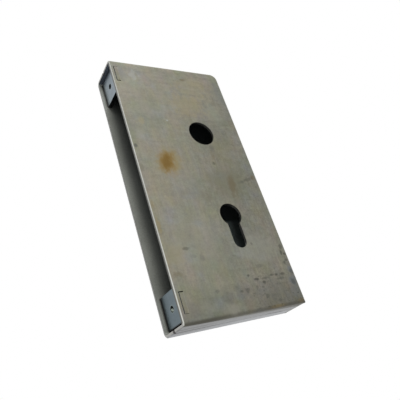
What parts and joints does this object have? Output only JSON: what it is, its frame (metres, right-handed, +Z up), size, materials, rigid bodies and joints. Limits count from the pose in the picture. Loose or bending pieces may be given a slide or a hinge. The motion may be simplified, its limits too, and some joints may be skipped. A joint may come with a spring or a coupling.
{
  "type": "mortise lock case",
  "caption": "Empty weld-in sheet-steel case for a mortise lock, open along one long side, with handle and profile-cylinder openings through both plates.",
  "frame": {"origin": "middle of the case's base, under the centre of its bounding box", "axes": "+Z up along the case's long side as it is welded into a gate or door frame; +X from the open mouth to the closed side; +Y from the front plate to the back plate"},
  "size_m": [0.1, 0.028, 0.21],
  "materials": {
    "raw_sheet": "raw hot-rolled sheet with a dull grey-olive mill surface, brown stains and one rust spot",
    "bracket_steel": "clean blue-grey cold-rolled plate",
    "ground_weld": "weld metal ground flush"
  },
  "bodies": {
    "root": {"front_shell": "raw_sheet", "back_shell": "raw_sheet", "upper_bracket": "bracket_steel", "lower_bracket": "bracket_steel", "upper_corner_weld": "ground_weld", "lower_corner_weld": "ground_weld", "top_seam_weld": "ground_weld", "base_seam_weld": "ground_weld", "side_seam_welds": "ground_weld", "front_tab_welds": "ground_weld", "back_tab_welds": "ground_weld"}
  },
  "joints": []
}
